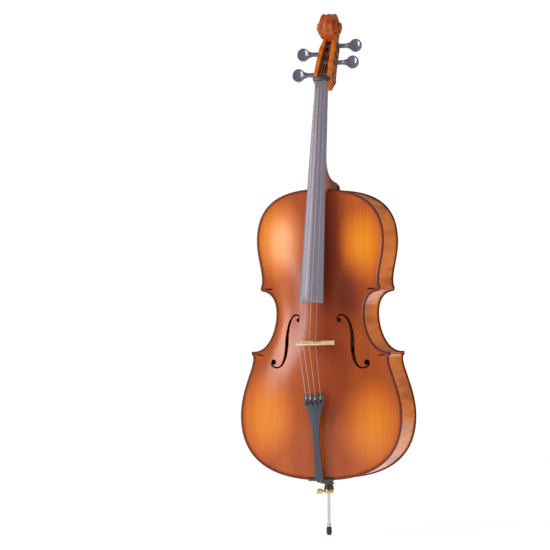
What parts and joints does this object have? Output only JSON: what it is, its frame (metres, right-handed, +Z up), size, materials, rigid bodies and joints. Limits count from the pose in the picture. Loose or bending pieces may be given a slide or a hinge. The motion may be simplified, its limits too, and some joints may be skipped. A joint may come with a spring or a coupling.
{
  "type": "cello",
  "caption": "Full-size cello with carved plates, turning pegs, fine tuners in the tailpiece and a sliding endpin held by a thumbscrew.",
  "frame": {"origin": "middle of the endpin tip's flat face, where the cello stands on the floor", "axes": "+Z up along the body, -Y out of the front, +X towards the highest string's side"},
  "size_m": [0.44, 0.2604, 1.3581],
  "materials": {
    "varnished_spruce": "gloss amber varnish",
    "varnished_maple": "gloss red-brown varnish",
    "bare_wood": "unfinished",
    "purfling": "dyed inlay under varnish",
    "ebony": "satin black",
    "peg_ebony": "polished black",
    "bridge_maple": "bare, smooth",
    "composite": "satin black",
    "steel": "polished",
    "string_steel": "flat wound",
    "string_silk": "silk wrapped",
    "brass": "polished",
    "rubber": "matt",
    "cord": "smooth"
  },
  "bodies": {
    "root": {"top_plate": "varnished_spruce", "back_plate": "varnished_maple", "rib_upper_left": "varnished_maple", "rib_upper_right": "varnished_maple", "rib_waist_left": "varnished_maple", "rib_waist_right": "varnished_maple", "rib_lower_left": "varnished_maple", "rib_lower_right": "varnished_maple", "neck_block": "bare_wood", "end_block": "bare_wood", "corner_blocks": "bare_wood", "linings_front": "bare_wood", "linings_back": "bare_wood", "bass_bar": "bare_wood", "sound_post": "bare_wood", "purfling_front": "purfling", "purfling_back": "purfling", "neck": "varnished_maple", "fingerboard": "ebony", "nut": "ebony", "saddle": "ebony", "bridge": "bridge_maple", "tailpiece": "composite", "tuner_pins": "steel", "tailgut": "cord", "endpin_plug": "ebony", "endpin_clamp": "brass", "string_c": "string_steel", "string_g": "string_steel", "string_d": "string_steel", "string_a": "string_steel"},
    "endpin": {"endpin_rod": "steel", "endpin_tip": "rubber", "endpin_tip_ring": "steel"},
    "clamp_screw": {"clamp_screw": "brass"},
    "clamp_knob": {"clamp_knob": "brass"},
    "peg_c": {"peg_c": "peg_ebony", "winding_c": "string_silk"},
    "tuner_screw_c": {"tuner_screw_c": "steel"},
    "tuner_knob_c": {"tuner_knob_c": "composite"},
    "tuner_lever_c": {"tuner_lever_c": "brass", "string_ball_c": "brass"},
    "peg_g": {"peg_g": "peg_ebony", "winding_g": "string_silk"},
    "tuner_screw_g": {"tuner_screw_g": "steel"},
    "tuner_knob_g": {"tuner_knob_g": "composite"},
    "tuner_lever_g": {"tuner_lever_g": "brass", "string_ball_g": "brass"},
    "peg_d": {"peg_d": "peg_ebony", "winding_d": "string_silk"},
    "tuner_screw_d": {"tuner_screw_d": "steel"},
    "tuner_knob_d": {"tuner_knob_d": "composite"},
    "tuner_lever_d": {"tuner_lever_d": "brass", "string_ball_d": "brass"},
    "peg_a": {"peg_a": "peg_ebony", "winding_a": "string_silk"},
    "tuner_screw_a": {"tuner_screw_a": "steel"},
    "tuner_knob_a": {"tuner_knob_a": "composite"},
    "tuner_lever_a": {"tuner_lever_a": "brass", "string_ball_a": "brass"}
  },
  "joints": [
    {"name": "endpin_slide", "type": "slide", "parent": "root", "child": "endpin", "axis": [0, 0, 1], "range_m": [-0.27, 0.076]},
    {"name": "clamp_travel", "type": "slide", "parent": "root", "child": "clamp_screw", "axis": [-1, 0, 0], "range_m": [0, 0.0016]},
    {"name": "clamp_turn", "type": "hinge", "parent": "clamp_screw", "child": "clamp_knob", "pos_m": [0, 0, 0.1135], "axis": [-1, 0, 0], "range_deg": [0, 720]},
    {"name": "peg_c_turn", "type": "hinge", "parent": "root", "child": "peg_c", "pos_m": [0, -0.01308, 1.1962], "axis": [1, 0, 0], "continuous": true},
    {"name": "tuner_c_travel", "type": "slide", "parent": "root", "child": "tuner_screw_c", "axis": [0, -0.9812, -0.193], "range_m": [-0.001, 0.001]},
    {"name": "tuner_c_turn", "type": "hinge", "parent": "tuner_screw_c", "child": "tuner_knob_c", "pos_m": [-0.0195, -0.11918, 0.34447], "axis": [0, -0.9812, -0.193], "range_deg": [-720, 720]},
    {"name": "tuner_c_lever", "type": "hinge", "parent": "root", "child": "tuner_lever_c", "pos_m": [-0.0195, -0.11535, 0.36153], "axis": [1, 0, 0], "range_deg": [-3.6, 3.6]},
    {"name": "peg_g_turn", "type": "hinge", "parent": "root", "child": "peg_g", "pos_m": [0, 0.0193, 1.25224], "axis": [1, 0, 0], "continuous": true},
    {"name": "tuner_g_travel", "type": "slide", "parent": "root", "child": "tuner_screw_g", "axis": [0, -0.9812, -0.193], "range_m": [-0.001, 0.001]},
    {"name": "tuner_g_turn", "type": "hinge", "parent": "tuner_screw_g", "child": "tuner_knob_g", "pos_m": [-0.0065, -0.11918, 0.34447], "axis": [0, -0.9812, -0.193], "range_deg": [-720, 720]},
    {"name": "tuner_g_lever", "type": "hinge", "parent": "root", "child": "tuner_lever_g", "pos_m": [-0.0065, -0.11925, 0.36076], "axis": [1, 0, 0], "range_deg": [-3.6, 3.6]},
    {"name": "peg_d_turn", "type": "hinge", "parent": "root", "child": "peg_d", "pos_m": [0, 0.03194, 1.274], "axis": [1, 0, 0], "continuous": true},
    {"name": "tuner_d_travel", "type": "slide", "parent": "root", "child": "tuner_screw_d", "axis": [0, -0.9812, -0.193], "range_m": [-0.001, 0.001]},
    {"name": "tuner_d_turn", "type": "hinge", "parent": "tuner_screw_d", "child": "tuner_knob_d", "pos_m": [0.0065, -0.11918, 0.34447], "axis": [0, -0.9812, -0.193], "range_deg": [-720, 720]},
    {"name": "tuner_d_lever", "type": "hinge", "parent": "root", "child": "tuner_lever_d", "pos_m": [0.0065, -0.11925, 0.36076], "axis": [1, 0, 0], "range_deg": [-3.6, 3.6]},
    {"name": "peg_a_turn", "type": "hinge", "parent": "root", "child": "peg_a", "pos_m": [0, 0.00124, 1.22832], "axis": [1, 0, 0], "continuous": true},
    {"name": "tuner_a_travel", "type": "slide", "parent": "root", "child": "tuner_screw_a", "axis": [0, -0.9812, -0.193], "range_m": [-0.001, 0.001]},
    {"name": "tuner_a_turn", "type": "hinge", "parent": "tuner_screw_a", "child": "tuner_knob_a", "pos_m": [0.0195, -0.11918, 0.34447], "axis": [0, -0.9812, -0.193], "range_deg": [-720, 720]},
    {"name": "tuner_a_lever", "type": "hinge", "parent": "root", "child": "tuner_lever_a", "pos_m": [0.0195, -0.11535, 0.36153], "axis": [1, 0, 0], "range_deg": [-3.6, 3.6]}
  ],
  "couplings": [
    {"joint": "clamp_turn", "follows": "clamp_travel", "rad_per_m": 7854},
    {"joint": "tuner_c_turn", "follows": "tuner_c_travel", "rad_per_m": 12566},
    {"joint": "tuner_c_lever", "follows": "tuner_c_travel", "rad_per_m": -62.5},
    {"joint": "tuner_g_turn", "follows": "tuner_g_travel", "rad_per_m": 12566},
    {"joint": "tuner_g_lever", "follows": "tuner_g_travel", "rad_per_m": -62.5},
    {"joint": "tuner_d_turn", "follows": "tuner_d_travel", "rad_per_m": 12566},
    {"joint": "tuner_d_lever", "follows": "tuner_d_travel", "rad_per_m": -62.5},
    {"joint": "tuner_a_turn", "follows": "tuner_a_travel", "rad_per_m": 12566},
    {"joint": "tuner_a_lever", "follows": "tuner_a_travel", "rad_per_m": -62.5}
  ]
}
